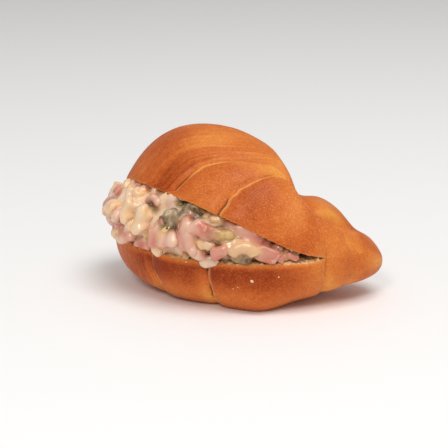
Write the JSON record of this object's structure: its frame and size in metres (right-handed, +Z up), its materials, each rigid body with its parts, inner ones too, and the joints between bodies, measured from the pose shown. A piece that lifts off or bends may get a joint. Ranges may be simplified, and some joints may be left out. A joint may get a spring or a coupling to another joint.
{
  "type": "filled crescent roll",
  "caption": "Soft crescent-shaped bread roll, slit and bent open along a hinge, filled with a creamy ham, pasta and mushroom salad.",
  "frame": {"origin": "centre of the bounding box in plan, on the flat underside that rests on the table", "axes": "+X along the roll towards its tapered tip, +Y away from the open side, +Z up"},
  "size_m": [0.1172, 0.0784, 0.0679],
  "materials": {
    "bread": "Egg-washed golden brown milk-dough crust with a soft shine, and pale cream crumb on the cut faces",
    "salad": "Wet creamy dressing over pink ham dice, pale yellow pasta and grey-green mushroom"
  },
  "bodies": {
    "root": {"roll": "bread", "filling": "salad"}
  },
  "joints": []
}
